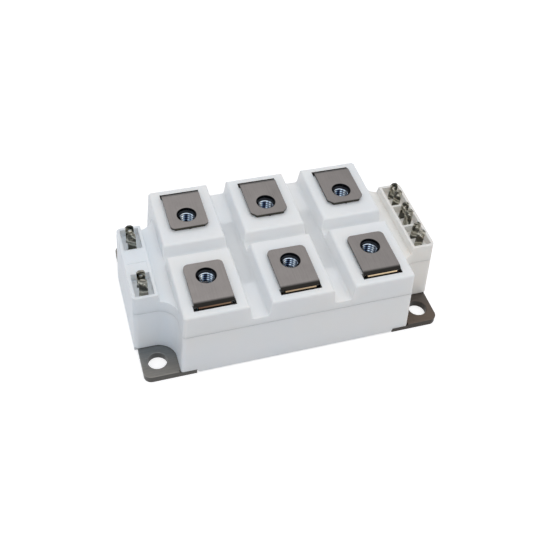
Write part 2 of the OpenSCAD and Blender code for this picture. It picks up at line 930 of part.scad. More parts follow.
module wire_over_x(x0, x1, y) {
  translate([(x0 + x1) / 2, y, chip_z])
    rotate([90, 0, 0])
      rotate_extrude(angle = 180, $fn = edge_fn)
        translate([(x1 - x0) / 2, 0])
          circle(d = wire_d, $fn = 13);
}

module bond_wires() {
  link_x0 = sub_w / 2 - copper_inset - 1;
  link_x1 = inner_field_x + 1;
  color("lightgray")
    each_switch() {
      for (i = [1 : igbt_wires])
        wire_over_y(igbt_x + igbt_side * (i / (igbt_wires + 1) - 0.5), wire_take_y, wire_land_y,
          chip_z + chip_t, chip_z);
      for (i = [1 : diode_wires])
        wire_over_y(diode_x + diode_side * (i / (diode_wires + 1) - 0.5), chip_y + 2,
          wire_land_y, chip_z + chip_t, chip_z);
      for (i = [0 : link_wires - 1])
        wire_over_x(link_x0, link_x1, link_y + 1.4 * i);
    }
}

// Silicone gel that fills the case over the substrates
module silicone_gel() {
  color("lightcyan", 0.5)
    difference() {
      translate([0, 0, plate_t])
        linear_extrude(height = gel_z - plate_t)
          cavity_plan();
      solder_layers();
      for (x = substrate_columns) {
        backing(x);
        ceramic(x);
      }
      bridge_tracks(0, [-1, 0, 1]);
      bridge_tracks(1, [-1, 1]);
      rail_tracks();
      igbt_chips();
      diode_chips();
      thermistor();
      bond_wires();
      all_terminals();
      all_tabs();
    }
}

module all_terminals() {
  for (k = [0 : 2]) {
    terminal(terminal_columns[k], 1, bend_steps);
    terminal(terminal_columns[k], 0, bend_steps);
  }
}

module all_tabs() {
  for (pole = [-1, 1], place = [-1, 1], side = [0, 1])
    control_tab(side, place, pole);
  for (pole = [-1, 1])
    control_tab(0, 0, pole);
}

base_plate();
frame_seal();
housing_frame();
lid();
terminal(-tower_pitch, 1, bend_steps);  // terminal_1
terminal(0, 1, bend_steps);  // terminal_2
terminal(tower_pitch, 1, bend_steps);  // terminal_3
terminal(-tower_pitch, 0, bend_steps);  // terminal_4
terminal(0, 0, 1);  // terminal_5
terminal(tower_pitch, 0, 1);  // terminal_6
terminal_nuts();
control_tab(1, 1, 1);  // tab_1_gate
control_tab(1, 1, -1);  // tab_1_emitter
control_tab(1, -1, 1);  // tab_2_gate
control_tab(1, -1, -1);  // tab_2_emitter
control_tab(0, 1, 1);  // tab_3_gate
control_tab(0, 1, -1);  // tab_3_emitter
control_tab(0, -1, 1);  // tab_4_gate
control_tab(0, -1, -1);  // tab_4_emitter
control_tab(0, 0, 1);  // tab_5_sensor_a
control_tab(0, 0, -1);  // tab_5_sensor_b
solder_layers();
ceramic(-sub_pitch);  // ceramic_left
ceramic(0);  // ceramic_middle
ceramic(sub_pitch);  // ceramic_right
backing(-sub_pitch);  // backing_left
backing(0);  // backing_middle
backing(sub_pitch);  // backing_right
bridge_tracks(1, [-1, 1]);  // tracks_left
rail_tracks();  // tracks_middle
bridge_tracks(0, [-1, 0, 1]);  // tracks_right
igbt_chips();
diode_chips();
thermistor();
bond_wires();
silicone_gel();
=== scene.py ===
import json
import math

import bmesh
import bpy
from mathutils import Matrix, Vector


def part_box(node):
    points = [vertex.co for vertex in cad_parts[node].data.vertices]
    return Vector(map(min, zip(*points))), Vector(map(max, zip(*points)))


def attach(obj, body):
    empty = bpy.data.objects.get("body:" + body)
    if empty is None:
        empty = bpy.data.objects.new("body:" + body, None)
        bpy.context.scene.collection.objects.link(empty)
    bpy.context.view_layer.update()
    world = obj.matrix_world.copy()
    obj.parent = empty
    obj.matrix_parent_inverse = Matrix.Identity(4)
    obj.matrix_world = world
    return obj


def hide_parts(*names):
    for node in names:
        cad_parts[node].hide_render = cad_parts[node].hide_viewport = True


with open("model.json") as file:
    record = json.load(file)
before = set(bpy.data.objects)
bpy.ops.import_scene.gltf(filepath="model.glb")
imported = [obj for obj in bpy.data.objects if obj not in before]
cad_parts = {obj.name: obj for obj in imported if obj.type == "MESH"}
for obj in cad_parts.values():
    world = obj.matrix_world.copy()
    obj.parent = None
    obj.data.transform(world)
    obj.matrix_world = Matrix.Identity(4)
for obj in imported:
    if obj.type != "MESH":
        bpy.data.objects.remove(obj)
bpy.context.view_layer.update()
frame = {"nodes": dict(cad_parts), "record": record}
nodes = frame["nodes"]
mm = 0.001
print("frame loaded:", len(nodes), "nodes")

# Places that the looks need, taken from the record and the frame
mountAt = {mount["name"]: Vector(mount["pos_m"]) for mount in frame["record"]["mounts"]}
terminalNumbers = range(1, 7)  # 1 to 3 in front and 4 to 6 behind, from left to right
screwPlaces = [mountAt["terminal_%d_screw" % number] for number in terminalNumbers]
columnPitch = screwPlaces[2].x
screwRow = screwPlaces[3].y
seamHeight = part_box("housing_frame")[1].z
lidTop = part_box("lid")[1].z
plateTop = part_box("base_plate")[1].z
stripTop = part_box("terminal_1")[1].z
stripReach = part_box("terminal_4")[1].y
nutLow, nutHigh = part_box("terminal_nuts")
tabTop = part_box("tab_1_gate")[1].z


# Shader writing: a Value is a socket on which maths can be written

class Value:
    def __init__(self, tree, socket):
        self.tree = tree
        self.socket = socket

    def maths(self, operation, first, second=0.0):
        return self.tree.node("ShaderNodeMath", {"operation": operation}, {0: first, 1: second})

    def __add__(self, other):
        return self.maths("ADD", self, other)

    def __radd__(self, other):
        return self.maths("ADD", other, self)

    def __sub__(self, other):
        return self.maths("SUBTRACT", self, other)

    def __rsub__(self, other):
        return self.maths("SUBTRACT", other, self)

    def __mul__(self, other):
        return self.maths("MULTIPLY", self, other)

    def __rmul__(self, other):
        return self.maths("MULTIPLY", other, self)

    def __truediv__(self, other):
        return self.maths("DIVIDE", self, other)

    def __abs__(self):
        return self.maths("ABSOLUTE", self)

    def clamped(self):
        return self.tree.node("ShaderNodeClamp", {}, {"Value": self, "Min": 0.0, "Max": 1.0})

    def rising(self, start, over):
        # 0 up to start, 1 from start + over onwards
        return ((self - start) / over).clamped()

    def falling(self, end, over):
        # 1 up to end - over, 0 from end onwards
        return ((end - self) / over).clamped()

    def closeTo(self, middle, half):
        # 1 in the middle, 0 from half away from it
        return (1 - abs(self - middle) / half).clamped()

    def across(self, middle, width):
        # 0 before, a half in the middle and 1 behind a zone of this width
        return ((self - middle) / width + 0.5).clamped()

    def swing(self, width):
        # a noise of 0 to 1 as a swing about nothing
        return (self - 0.5) * width


class Tree:
    # a node tree in which one call makes a node, sets it and feeds its sockets
    def __init__(self, nodeTree):
        self.tree = nodeTree

    def node(self, kind, settings, inputs, output=0):
        made = self.tree.nodes.new(kind)
        for name, setting in settings.items():
            setattr(made, name, setting)
        for name, given in inputs.items():
            self.feed(made.inputs[name], given)
        if output is None:
            return made
        if isinstance(output, tuple):
            return [Value(self, made.outputs[name]) for name in output]
        return Value(self, made.outputs[output])

    def feed(self, socket, given):
        if isinstance(given, Value):
            self.tree.links.new(given.socket, socket)
        else:
            socket.default_value = given

    def objectPlace(self):
        return self.node("ShaderNodeTexCoord", {}, {}, "Object")


class Paint(Tree):
    # one material with its principled shader and its object coordinates
    socketNames = {
        "colour": "Base Color", "roughness": "Roughness", "metallic": "Metallic",
        "normal": "Normal", "ior": "IOR", "specular": "Specular IOR Level",
        "subsurface": "Subsurface Weight", "subsurfaceScale": "Subsurface Scale",
        "subsurfaceRadius": "Subsurface Radius"}

    def __init__(self, name):
        self.material = bpy.data.materials.new(name)
        self.material.use_nodes = True
        Tree.__init__(self, self.material.node_tree)
        self.shader = self.tree.nodes["Principled BSDF"]
        self.place = self.objectPlace()

    def noise(self, scale, detail=2.0, vector=None, roughness=0.5):
        return self.node("ShaderNodeTexNoise", {}, {
            "Vector": vector or self.place, "Scale": scale, "Detail": detail,
            "Roughness": roughness})

    def stretchedNoise(self, scales, detail):
        vector = self.node("ShaderNodeMapping", {}, {"Vector": self.place, "Scale": scales})
        return self.noise(1.0, detail, vector)

    def ramp(self, factor, stops):
        made = self.node("ShaderNodeValToRGB", {}, {"Fac": factor}, None)
        elements = made.color_ramp.elements
        while len(elements) < len(stops):
            elements.new(0.5)
        for element, (position, colour) in zip(elements, stops):
            element.position = position
            element.color = rgb(*colour)
        return Value(self, made.outputs["Color"])

    def mixColour(self, factor, first, second):
        # inputs 0, 6 and 7 and output 2 are the ones for colours
        return self.node("ShaderNodeMix", {"data_type": "RGBA"},
                         {0: factor, 6: first, 7: second}, 2)

    def multiplied(self, first, second):
        return self.node("ShaderNodeVectorMath", {"operation": "MULTIPLY"}, {0: first, 1: second})

    def axes(self):
        return self.node("ShaderNodeSeparateXYZ", {}, {0: self.place}, (0, 1, 2))

    def screwPlane(self):
        # x and y from the axis of the nearest terminal screw
        x, y, _ = self.axes()
        column = x.maths("ROUND", x / columnPitch)
        row = y.maths("SIGN", y)
        return x - column * columnPitch, y - row * screwRow

    def fromScrew(self):
        x, y = self.screwPlane()
        return x.maths("SQRT", x * x + y * y)

    def bump(self, height, strength, distance, under=None):
        inputs = {"Height": height, "Strength": strength, "Distance": distance}
        if under:
            inputs["Normal"] = under
        return self.node("ShaderNodeBump", {}, inputs)

    def finished(self, **sockets):
        for name, given in sockets.items():
            self.feed(self.shader.inputs[self.socketNames[name]], given)
        return self.material


def rgb(red, green, blue):
    return (red, green, blue, 1.0)


def grey(tone):
    return (tone, tone, tone)


def blended(share, first, second):
    return share * first + (1 - share) * second


# Materials

casePlastic = {
    "clouds": [(0.32, (0.85, 0.87, 0.895)), (0.5, (0.875, 0.885, 0.895)),
               (0.68, (0.885, 0.88, 0.87))],
    "cloudScale": 38.0, "cloudDetail": 3.0,
    "leftEndCoolLight": (0.93, 0.965, 1.0), "rightEndWarmLight": (1.0, 0.965, 0.915),
    "endFrom": 39 * mm, "endOver": 4 * mm,
    "seam": (0.42, 0.43, 0.46), "seamHalf": 0.13 * mm, "seamShare": 0.75, "endSeamLess": 0.5,
    "slot": (0.05, 0.045, 0.04), "slotHalf": 7.05 * mm, "slotFrom": stripReach - 1.95 * mm,
    "slotTo": stripReach + 0.62 * mm, "slotOver": 0.12 * mm,
    "roughness": 0.40, "roughnessSwing": 0.1, "ior": 1.5,
    "scatter": 0.35, "scatterScale": 0.004, "scatterRadius": (1.0, 0.85, 0.78),
    "flowScale": 160.0, "flowStrength": 0.5, "flowDepth": 0.00004,
    "grainScale": 5200.0, "grainStrength": 0.35, "grainDepth": 0.00001,
}


def makeCasePlastic(name, values):
    paint = Paint(name)
    cloud = paint.noise(values["cloudScale"], values["cloudDetail"])
    colour = paint.ramp(cloud, values["clouds"])
    x, y, height = paint.axes()
    # painted light: the end blocks are tinted cooler on the left, as in shade, and warmer on the
    # right
    onLeft = (-1 * x).rising(values["endFrom"], values["endOver"])
    onRight = x.rising(values["endFrom"], values["endOver"])
    colour = paint.mixColour(onLeft, colour, paint.multiplied(colour, values["leftEndCoolLight"]))
    colour = paint.mixColour(onRight, colour, paint.multiplied(colour, values["rightEndWarmLight"]))
    # the seam between frame and lid is a thin darker line, a joint with painted shade, fainter on
    # the end blocks
    seamShare = values["seamShare"] * (1 - values["endSeamLess"] * (onLeft + onRight))
    nearSeam = height.closeTo(seamHeight, values["seamHalf"])
    colour = paint.mixColour(nearSeam * seamShare, colour, rgb(*values["seam"]))
    # painted shadow: the lid in and around the slots that the strips' legs drop into is dark
    beside = abs(paint.screwPlane()[0])
    outward = abs(y)
    inSlot = (beside.falling(values["slotHalf"], values["slotOver"])
              * outward.rising(values["slotFrom"], values["slotOver"])
              * outward.falling(values["slotTo"], values["slotOver"]))
    colour = paint.mixColour(inSlot, colour, rgb(*values["slot"]))
    flow = paint.noise(values["flowScale"])
    grain = paint.noise(values["grainScale"])
    flowBump = paint.bump(flow, values["flowStrength"], values["flowDepth"])
    return paint.finished(
        colour=colour, roughness=values["roughness"] + flow.swing(values["roughnessSwing"]),
        normal=paint.bump(grain, values["grainStrength"], values["grainDepth"], flowBump),
        ior=values["ior"], subsurface=values["scatter"], subsurfaceScale=values["scatterScale"],
        subsurfaceRadius=values["scatterRadius"])


plateMetal = {
    "left": (0.215, 0.207, 0.193), "right": (0.10, 0.077, 0.062), "turnAt": 12 * mm,
    "turnOver": 60 * mm, "wallShadeReflection": (0.80, 0.90, 1.0), "nearFrom": 20 * mm, "nearOver": 8 * mm,
    "shades": [(0.3, (0.80, 0.80, 0.81)), (0.7, (1.14, 1.13, 1.10))], "brushShare": 0.6,
    "sideShade": 0.34, "sideFrom": 0.1 * mm, "sideTo": plateTop - 0.28 * mm, "sideOver": 0.12 * mm,
    "brushScales": (60.0, 2600.0, 2600.0), "brushDetail": 4.0,
    "blotchScale": 55.0, "blotchDetail": 3.0,
    "metallic": 0.7, "roughness": 0.42, "brushSwing": 0.22, "blotchSwing": 0.16,
    "bumpStrength": 0.5, "bumpDepth": 0.000012,
}


def makePlateMetal(name, values):
    paint = Paint(name)
    brush = paint.stretchedNoise(values["brushScales"], values["brushDetail"])
    blotch = paint.noise(values["blotchScale"], values["blotchDetail"])
    x, y, height = paint.axes()
    # painted reflection: the plate's tone turns from grey on the left to dark brown on the right
    toRight = x.across(values["turnAt"], values["turnOver"])
    tone = paint.mixColour(toRight, rgb(*values["left"]), rgb(*values["right"]))
    # painted shade and reflection: bluer and darker where the case's white wall stands on the
    # plate
    away = abs(y).rising(values["nearFrom"], values["nearOver"])
    tone = paint.mixColour(away, paint.multiplied(tone, values["wallShadeReflection"]), tone)
    shade = paint.ramp(blended(values["brushShare"], brush, blotch), values["shades"])
    colour = paint.multiplied(tone, shade)
    # the side faces and the bores are painted darker than the top and bottom faces
    onCut = (height.rising(values["sideFrom"], values["sideOver"])
             * height.falling(values["sideTo"], values["sideOver"]))
    colour = paint.mixColour(onCut, colour, paint.multiplied(colour, grey(values["sideShade"])))
    roughness = (values["roughness"] + brush.swing(values["brushSwing"])
                 + blotch.swing(values["blotchSwing"]))
    return paint.finished(
        colour=colour, metallic=values["metallic"], roughness=roughness,
        normal=paint.bump(brush, values["bumpStrength"], values["bumpDepth"]))


stripMetal = {
    "tones": [(0.32, (0.180, 0.168, 0.164)), (0.68, (0.238, 0.222, 0.217))],
    "brushShare": 0.45, "rightShade": 0.84, "shadeOver": 70 * mm,
    "edge": (0.06, 0.055, 0.045), "edgeUnder": stripTop - 0.2 * mm, "edgeOver": 0.1 * mm,
    "bend": (0.018, 0.016, 0.014), "bendFrom": stripReach - 2.15 * mm, "bendOver": 0.8 * mm,
    "copperShadedLeft": (0.14, 0.075, 0.05), "copperLitRight": (0.80, 0.62, 0.40),
    "copperUnder": lidTop + 0.42 * mm, "copperAbove": lidTop - 0.1 * mm,
    "copperOver": 0.08 * mm,
    "hole": (0.012, 0.013, 0.016), "holeRadius": 3.5 * mm, "holeOver": 0.12 * mm,
    "brushScales": (3400.0, 90.0, 90.0), "brushDetail": 4.0,
    "stainScale": 190.0, "stainDetail": 4.0, "stainRoughness": 0.6,
    "specular": 0.1, "roughness": 0.36, "brushSwing": 0.2, "stainSwing": 0.25,
    "bumpStrength": 0.5, "bumpDepth": 0.000008,
}


def makeStripMetal(name, values):
    paint = Paint(name)
    brush = paint.stretchedNoise(values["brushScales"], values["brushDetail"])
    stain = paint.noise(values["stainScale"], values["stainDetail"],
                        roughness=values["stainRoughness"])
    colour = paint.ramp(blended(values["brushShare"], brush, stain), values["tones"])
    x, y, height = paint.axes()
    # painted shade: the strips get darker towards the right
    toRight = x.across(0.0, values["shadeOver"])
    shaded = paint.multiplied(colour, grey(values["rightShade"]))
    colour = paint.mixColour(toRight, colour, shaded)
    # painted shade and dark reflection: everything of the strips below their top face is nearly
    # black
    onEdge = height.falling(values["edgeUnder"], values["edgeOver"])
    colour = paint.mixColour(onEdge, colour, rgb(*values["edge"]))
    # painted dark reflection and shade: the bend and the leg under it are nearly black
    onBend = abs(y).rising(values["bendFrom"], values["bendOver"])
    colour = paint.mixColour(onBend, colour, rgb(*values["bend"]))
    # a line of bare copper over the slot, with painted shade on the left and a painted highlight
    # on the right
    onCopper = (height.falling(values["copperUnder"], values["copperOver"])
                * height.rising(values["copperAbove"], values["copperOver"]) * onBend)
    copper = paint.mixColour(toRight, rgb(*values["copperShadedLeft"]), rgb(*values["copperLitRight"]))
    colour = paint.mixColour(onCopper, colour, copper)
    # painted shade: the wall and rim of each strip's screw hole are nearly black
    inHole = paint.fromScrew().falling(values["holeRadius"], values["holeOver"])
    colour = paint.mixColour(inHole, colour, rgb(*values["hole"]))
    roughness = (values["roughness"] + brush.swing(values["brushSwing"])
                 + stain.swing(values["stainSwing"]))
    return paint.finished(
        colour=colour, metallic=1 - onBend * (1 - onCopper), roughness=roughness,
        specular=values["specular"],
        normal=paint.bump(brush, values["bumpStrength"], values["bumpDepth"]))


nutZinc = {
    # painted highlights and shade: light and dark streaks around the bore, by the share of a turn
    "highlightStreaks": [
        (0.00, (0.45, 0.55, 0.68)), (0.06, (0.02, 0.03, 0.06)), (0.11, (0.70, 0.80, 0.92)),
        (0.14, (0.10, 0.16, 0.26)), (0.18, (0.55, 0.68, 0.85)), (0.205, (0.012, 0.02, 0.05)),
        (0.25, (0.02, 0.035, 0.08)), (0.275, (0.30, 0.42, 0.58)), (0.30, (0.95, 0.98, 1.0)),
        (0.335, (0.60, 0.70, 0.82)), (0.36, (0.01, 0.015, 0.03)), (0.46, (0.01, 0.012, 0.02)),
        (0.55, (0.25, 0.32, 0.42)), (0.63, (0.02, 0.03, 0.05)), (0.74, (0.65, 0.74, 0.85)),
        (0.80, (0.03, 0.05, 0.09)), (0.90, (0.35, 0.45, 0.6)), (0.95, (0.02, 0.03, 0.06))],
    "wobble": 0.035, "wobbleScale": 420.0,
    "mouth": (0.014, 0.016, 0.02), "mouthFrom": nutHigh.z - 0.85 * mm, "mouthOver": 0.12 * mm,
    "rim": (0.75, 0.86, 0.98), "rimShare": 0.8,
    "roughness": 0.2, "roughnessSwing": 0.2,
    "grainScale": 6000.0, "bumpStrength": 0.25, "bumpDepth": 0.00001,
}


def makeNutZinc(name, values):
    paint = Paint(name)
    x, y = paint.screwPlane()
    height = paint.axes()[2]
    wobble = paint.noise(values["wobbleScale"])
    turn = x.maths("ARCTAN2", y, x) / (2 * math.pi) + 1.0 + wobble.swing(values["wobble"])
    colour = paint.ramp(turn.maths("FRACT", turn), values["highlightStreaks"])
    # painted shade and highlight: the wide mouth over the thread is dark, with a bright line where
    # the thread starts
    inMouth = height.rising(values["mouthFrom"], values["mouthOver"])
    onRim = height.closeTo(values["mouthFrom"], values["mouthOver"])
    colour = paint.mixColour(inMouth, colour, rgb(*values["mouth"]))
    colour = paint.mixColour(onRim * values["rimShare"], colour, rgb(*values["rim"]))
    grain = paint.noise(values["grainScale"])
    return paint.finished(
        colour=colour, metallic=1.0,
        roughness=values["roughness"] + wobble.swing(values["roughnessSwing"]),
        normal=paint.bump(grain, values["bumpStrength"], values["bumpDepth"]))


tabTin = {
    "tones": [(0.26, (0.10, 0.10, 0.085)), (0.46, (0.32, 0.31, 0.265)),
              (0.66, (0.78, 0.76, 0.66)), (0.84, (0.32, 0.31, 0.265))],
    "bandShare": 0.75, "bandScale": 110.0, "bandBend": 5.0, "bandDetail": 2.0,
    "bandDetailScale": 1.5,
    "tip": (0.03, 0.03, 0.027), "tipShare": 0.6, "tipFrom": tabTop - 0.75 * mm,
    "tipOver": 0.2 * mm,
    "brushScales": (4200.0, 4200.0, 140.0), "brushDetail": 3.0,
    "roughness": 0.26, "roughnessSwing": 0.2, "bumpStrength": 0.4, "bumpDepth": 0.000008,
}


def makeTabTin(name, values):
    paint = Paint(name)
    # painted reflections: light and dark wavy bands across the tabs
    band = paint.node("ShaderNodeTexWave", {"bands_direction": "DIAGONAL"}, {
        "Vector": paint.place, "Scale": values["bandScale"], "Distortion": values["bandBend"],
        "Detail": values["bandDetail"], "Detail Scale": values["bandDetailScale"]}, "Fac")
    brush = paint.stretchedNoise(values["brushScales"], values["brushDetail"])
    colour = paint.ramp(blended(values["bandShare"], band, brush), values["tones"])
    onTip = paint.axes()[2].rising(values["tipFrom"], values["tipOver"])
    colour = paint.mixColour(onTip * values["tipShare"], colour, rgb(*values["tip"]))
    return paint.finished(
        colour=colour, metallic=1.0,
        roughness=values["roughness"] + band.swing(values["roughnessSwing"]),
        normal=paint.bump(brush, values["bumpStrength"], values["bumpDepth"]))


# Plain inner finishes: two tones, their scale, and how rough and metallic they are
innerFinishes = {
    "adhesive": {"low": (0.70, 0.70, 0.67), "high": (0.80, 0.80, 0.78), "scale": 600.0,
                 "roughness": 0.55, "metallic": 0.0, "depth": 0.00005},
    "solderTin": {"low": (0.42, 0.43, 0.45), "high": (0.62, 0.63, 0.64), "scale": 500.0,
                  "roughness": 0.4, "metallic": 1.0, "depth": 0.00003},
    "ceramicWhite": {"low": (0.80, 0.79, 0.75), "high": (0.87, 0.86, 0.83), "scale": 2500.0,
                     "roughness": 0.6, "metallic": 0.0, "depth": 0.00001},
    "bareCopper": {"low": (0.66, 0.33, 0.20), "high": (0.86, 0.50, 0.34), "scale": 300.0,
                   "roughness": 0.3, "metallic": 1.0, "depth": 0.00001},
    "chipSilicon": {"low": (0.10, 0.11, 0.14), "high": (0.22, 0.24, 0.28), "scale": 700.0,
                    "roughness": 0.15, "metallic": 0.6, "depth": 0.000005},
    "sensorBody": {"low": (0.30, 0.22, 0.15), "high": (0.42, 0.33, 0.24), "scale": 900.0,
                   "roughness": 0.5, "metallic": 0.0, "depth": 0.00001},
    "wireAluminium": {"low": (0.72, 0.72, 0.73), "high": (0.86, 0.86, 0.87), "scale": 900.0,
                      "roughness": 0.22, "metallic": 1.0, "depth": 0.000005},
    "clearGel": {"low": (0.78, 0.83, 0.86), "high": (0.86, 0.90, 0.92), "scale": 120.0,
                 "roughness": 0.12, "metallic": 0.0, "depth": 0.00005},
}
innerShared = {"lowAt": 0.3, "highAt": 0.7, "detail": 3.0, "roughnessSwing": 0.15,
               "bumpStrength": 0.4}


def makeInnerFinish(name, values):
    paint = Paint(name)
    cloud = paint.noise(values["scale"], innerShared["detail"])
    colour = paint.ramp(cloud, [(innerShared["lowAt"], values["low"]),
                                (innerShared["highAt"], values["high"])])
    return paint.finished(
        colour=colour, metallic=values["metallic"],
        roughness=values["roughness"] + cloud.swing(innerShared["roughnessSwing"]),
        normal=paint.bump(cloud, innerShared["bumpStrength"], values["depth"]))


paints = {
    "case": makeCasePlastic("casePlastic", casePlastic),
    "plate": makePlateMetal("plateMetal", plateMetal),
    "strip": makeStripMetal("stripMetal", stripMetal),
    "nut": makeNutZinc("nutZinc", nutZinc),
    "tab": makeTabTin("tabTin", tabTin),
}
innerSlots = {"seal": "adhesive", "solder": "solderTin", "ceramic": "ceramicWhite",
              "copper": "bareCopper", "chip": "chipSilicon", "sensor": "sensorBody",
              "wire": "wireAluminium", "gel": "clearGel"}
for slotName, finishName in innerSlots.items():
    paints[slotName] = makeInnerFinish(finishName, innerFinishes[finishName])
for entry in frame["record"]["subparts"]:
    for materialSlot in nodes[entry["node"]].material_slots:
        materialSlot.material = paints[entry["material_slot"]]
print("materials made:", len(paints))


# Pieces

def addPiece(name, bm, slotName):
    mesh = bpy.data.meshes.new(name)
    bm.to_mesh(mesh)
    bm.free()
    mesh.materials.append(paints[slotName])
    piece = bpy.data.objects.new(name, mesh)
    bpy.context.scene.collection.objects.link(piece)
    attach(piece, "root")
    return piece


def roundEdges(bm, edges, radius, segments):
    bmesh.ops.bevel(bm, geom=edges, offset=radius, offset_type="OFFSET", affect="EDGES",
                    segments=segments, profile=0.5, clamp_overlap=True, material=-1)


def steadyShading(piece, angle, weight):
    # wide flat faces keep their own normals, and the small roundings blend into them
    piece.data.set_sharp_from_angle(angle=math.radians(angle))
    weighted = piece.modifiers.new("weightedNormals", "WEIGHTED_NORMAL")
    weighted.keep_sharp = True
    weighted.weight = weight


# Distance within which points are merged, then angles in degrees: faces taken as one, edges
# that get a rounding, and edges that stay sharp in the shading. The weight is that of wide
# faces in the shading.
softValues = {"weld": 0.002 * mm, "flat": 0.5, "angle": 32, "smooth": 47, "weight": 90}


def softPiece(name, nodeName, slotName, rounds):
    # the CAD shape again, with its sharp edges rounded as a moulded or stamped piece has them
    bm = bmesh.new()
    bm.from_mesh(nodes[nodeName].data)
    bmesh.ops.remove_doubles(bm, verts=bm.verts, dist=softValues["weld"])
    bmesh.ops.dissolve_limit(bm, angle_limit=math.radians(softValues["flat"]), verts=bm.verts,
                             edges=bm.edges)
    bmesh.ops.recalc_face_normals(bm, faces=bm.faces)
    limit = math.radians(softValues["angle"])
    for rounding in rounds:
        edges = [edge for edge in bm.edges if edge.is_manifold
                 and edge.calc_face_angle(0.0) > limit and rounding["where"](edge)]
        roundEdges(bm, edges, rounding["radius"], rounding["segments"])
    for face in bm.faces:
        face.smooth = True
    piece = addPiece(name, bm, slotName)
    steadyShading(piece, softValues["smooth"], softValues["weight"])
    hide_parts(nodeName)


# Where each rounding goes
edgeZones = {"level": 0.02 * mm, "slotHalf": 7.4 * mm, "slotFrom": 7.0 * mm,
             "slotTo": 28.0 * mm, "holeWithin": 3.4 * mm}


def middleOf(edge):
    return (edge.verts[0].co + edge.verts[1].co) / 2


def liesAt(edge, height):
    return all(abs(vert.co.z - height) < edgeZones["level"] for vert in edge.verts)


def everywhere(edge):
    return True


def onSeam(edge):
    return liesAt(edge, seamHeight)


def offSeam(edge):
    return not onSeam(edge)


def onTowerTop(edge):
    middle = middleOf(edge)
    inOpening = (edgeZones["slotFrom"] < abs(middle.y) < edgeZones["slotTo"]
                 and any(abs(middle.x - place.x) < edgeZones["slotHalf"]
                         for place in screwPlaces))
    return abs(middle.z - lidTop) < edgeZones["level"] and not inOpening


def elsewhereOnLid(edge):
    return middleOf(edge).z > seamHeight + edgeZones["level"] and not onTowerTop(edge)


def onStripHole(edge):
    return liesAt(edge, stripTop) and all(
        min((vert.co - place).to_2d().length for place in screwPlaces)
        < edgeZones["holeWithin"] for vert in edge.verts)


lidRounds = [
    {"where": onSeam, "radius": 0.1 * mm, "segments": 1},
    {"where": onTowerTop, "radius": 0.7 * mm, "segments": 5},
    {"where": elsewhereOnLid, "radius": 0.35 * mm, "segments": 3},
]
softPiece("caseLid", "lid", "case", lidRounds)

frameRounds = [
    {"where": onSeam, "radius": 0.1 * mm, "segments": 1},
    {"where": offSeam, "radius": 0.15 * mm, "segments": 2},
]
softPiece("caseFrame", "housing_frame", "case", frameRounds)

plateRounds = [{"where": everywhere, "radius": 0.25 * mm, "segments": 3}]
softPiece("basePlate", "base_plate", "plate", plateRounds)

stripRounds = [
    {"where": onStripHole, "radius": 0.35 * mm, "segments": 3},
    {"where": everywhere, "radius": 0.16 * mm, "segments": 3},
]
for number in terminalNumbers:
    softPiece("terminalStrip%d" % number, "terminal_%d" % number, "strip", stripRounds)

tabRounds = [{"where": everywhere, "radius": 0.12 * mm, "segments": 2}]
for nodeName in sorted(nodes):
    if nodeName.startswith("tab_"):
        softPiece(nodeName.replace("tab_", "controlTab_"), nodeName, "tab", tabRounds)
print("soft pieces made")

# The shares are parts of the thread's pitch, and smooth is an angle in degrees
nutValues = {
    "sides": 6, "across": 10.0 * mm, "bore": 3.0 * mm, "points": 48, "countersink": 0.8 * mm,
    "mouthWithin": 0.05 * mm, "mouthLevel": 0.01 * mm,
    "pitch": 1.0 * mm, "crest": 2.8 * mm, "rootPast": 0.05 * mm, "rootShare": 0.42,
    "crestShare": 0.2, "startShare": 0.6, "shorterShare": 1.35, "stepsPerTurn": 40,
    "smooth": 28, "weight": 90,
}


def nutBody(centre, low, high, values):
    bm = bmesh.new()
    sides, points = values["sides"], values["points"]
    corner = values["across"] / 2 / math.cos(math.pi / sides)
    turn = Matrix.Rotation(math.pi / sides, 4, "Z")
    bmesh.ops.create_circle(bm, segments=sides, radius=corner, matrix=turn)
    # the outline gets as many points as the bore, so that four-sided faces join them
    bmesh.ops.subdivide_edges(bm, edges=list(bm.edges), cuts=points // sides - 1)
    bmesh.ops.create_circle(bm, segments=points, radius=values["bore"])
    bmesh.ops.bridge_loops(bm, edges=list(bm.edges))
    raised = bmesh.ops.extrude_face_region(bm, geom=list(bm.faces))
    topVerts = [item for item in raised["geom"] if isinstance(item, bmesh.types.BMVert)]
    bmesh.ops.translate(bm, verts=topVerts, vec=(0, 0, high - low))
    bmesh.ops.translate(bm, verts=bm.verts, vec=(centre.x, centre.y, low))
    bmesh.ops.recalc_face_normals(bm, faces=bm.faces)
    mouth = [edge for edge in bm.edges if all(
        abs((vert.co - centre).to_2d().length - values["bore"]) < values["mouthWithin"]
        and abs(vert.co.z - high) < values["mouthLevel"] for vert in edge.verts)]
    roundEdges(bm, mouth, values["countersink"], 1)
    return bm


def threadTurns(bm, centre, low, high, values):
    pitch, root, crest = values["pitch"], values["bore"] + values["rootPast"], values["crest"]
    start = low + values["startShare"] * pitch
    turns = (high - low - values["shorterShare"] * pitch) / pitch
    rootShare, crestShare = values["rootShare"], values["crestShare"]
    corners = [(root, -rootShare), (crest, -crestShare), (crest, crestShare), (root, rootShare)]
    verts = [bm.verts.new((centre.x + radius, centre.y, start + share * pitch))
             for radius, share in corners]
    section = bm.faces.new(verts)
    steps = round(values["stepsPerTurn"] * turns)
    bmesh.ops.spin(bm, geom=list(section.edges) + verts, cent=centre, axis=(0, 0, 1),
                   dvec=(0, 0, pitch * turns / steps), angle=2 * math.pi * turns, steps=steps,
                   use_merge=False)
    bmesh.ops.holes_fill(bm, edges=[edge for edge in bm.edges if edge.is_boundary],
                         sides=len(corners))


